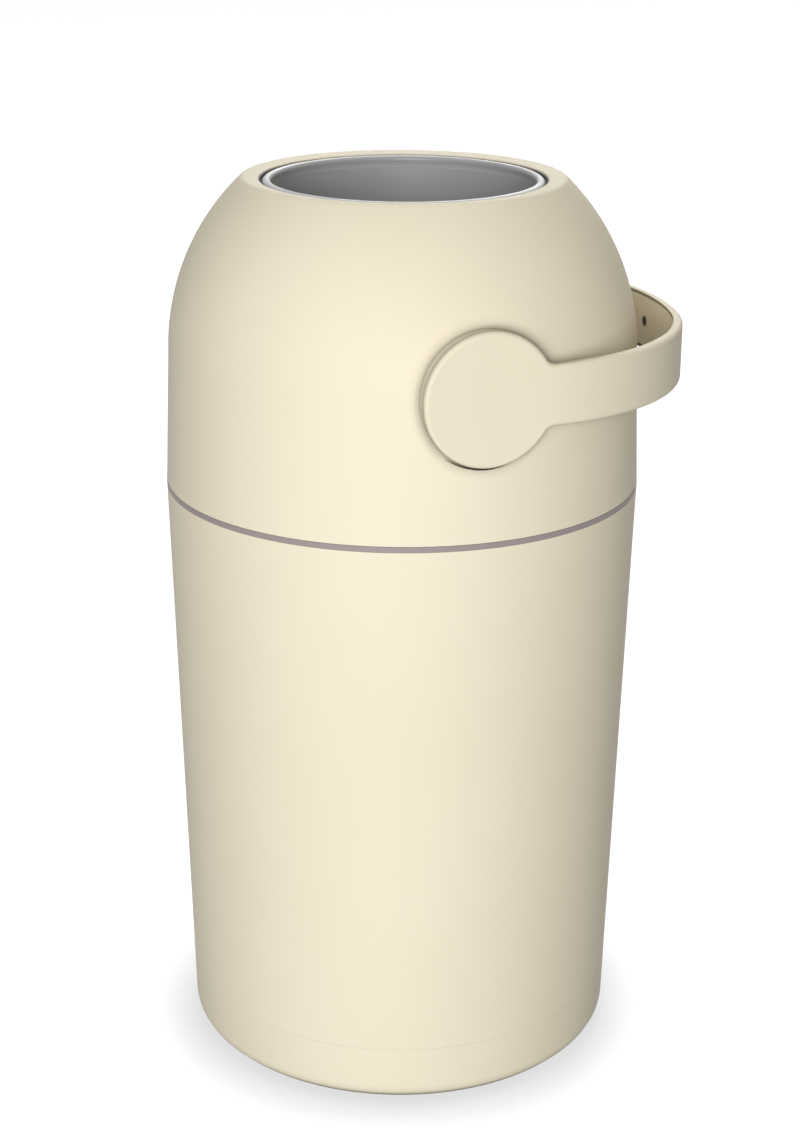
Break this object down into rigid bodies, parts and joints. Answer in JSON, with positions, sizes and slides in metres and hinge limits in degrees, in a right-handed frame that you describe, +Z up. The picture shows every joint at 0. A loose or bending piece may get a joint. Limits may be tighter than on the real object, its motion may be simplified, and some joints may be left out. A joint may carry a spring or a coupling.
{
  "type": "nappy bin",
  "caption": "Tapered round nappy bin with a domed head, a U-handle that turns a ball drum, and a sliding piston that empties its chamber into the bag below.",
  "frame": {"origin": "on the floor, under the middle of the bucket", "axes": "+Z up along the bucket's axis; the drum and handle turn about an axis along X; at rest the handle's bow points to +Y"},
  "size_m": [0.278, 0.29, 0.5134],
  "materials": {
    "cream_shell": "satin cream",
    "handle_skin": "satin cream",
    "handle_liner": "satin cream",
    "ring_grey": "satin grey",
    "chamber_grey": "satin grey",
    "rim_grey": "satin light grey",
    "drum_plastic": "satin",
    "natural_plastic": "satin",
    "bush_plastic": "smooth",
    "piston_plastic": "satin",
    "seal_rubber": "matt",
    "foot_rubber": "matt",
    "screw_steel": "zinc plated",
    "weight_steel": "plain"
  },
  "bodies": {
    "bucket": {"bucket_shell": "cream_shell", "base_grip": "foot_rubber", "bag_ring": "ring_grey"},
    "head_seal": {"ring_gasket": "seal_rubber"},
    "head": {"dome_shell": "cream_shell", "drum_cradle": "natural_plastic", "top_wiper_seal": "seal_rubber", "outlet_wiper_seal": "seal_rubber", "left_bush": "bush_plastic", "right_bush": "bush_plastic", "cradle_screws": "screw_steel"},
    "drum": {"drum_half_front": "drum_plastic", "drum_half_back": "drum_plastic", "chamber_tube": "chamber_grey", "upper_rim_ring": "rim_grey", "lower_rim_ring": "rim_grey", "drum_screws": "screw_steel", "left_hub": "natural_plastic", "right_hub": "natural_plastic", "hub_bolts": "screw_steel", "hub_nuts": "screw_steel", "handle_frame": "handle_liner", "handle_cover": "handle_skin", "frame_screws": "screw_steel", "bow_screw": "screw_steel"},
    "piston": {"piston_body": "piston_plastic", "piston_cap": "piston_plastic", "piston_seal": "seal_rubber", "piston_weight": "weight_steel", "piston_screws": "screw_steel"}
  },
  "joints": [
    {"name": "head_twist", "type": "hinge", "parent": "bucket", "child": "head_seal", "pos_m": [0, 0, 0.3425], "axis": [0, 0, 1], "range_deg": [-20, 0]},
    {"name": "head_lift", "type": "slide", "parent": "head_seal", "child": "head", "axis": [0, 0, 1], "range_m": [0, 0.06]},
    {"name": "drum_turn", "type": "hinge", "parent": "head", "child": "drum", "pos_m": [0, 0, 0.42017], "axis": [1, 0, 0], "range_deg": [0, 180]},
    {"name": "piston_slide", "type": "slide", "parent": "drum", "child": "piston", "axis": [0, 0, 1], "range_m": [0, 0.1434]}
  ]
}
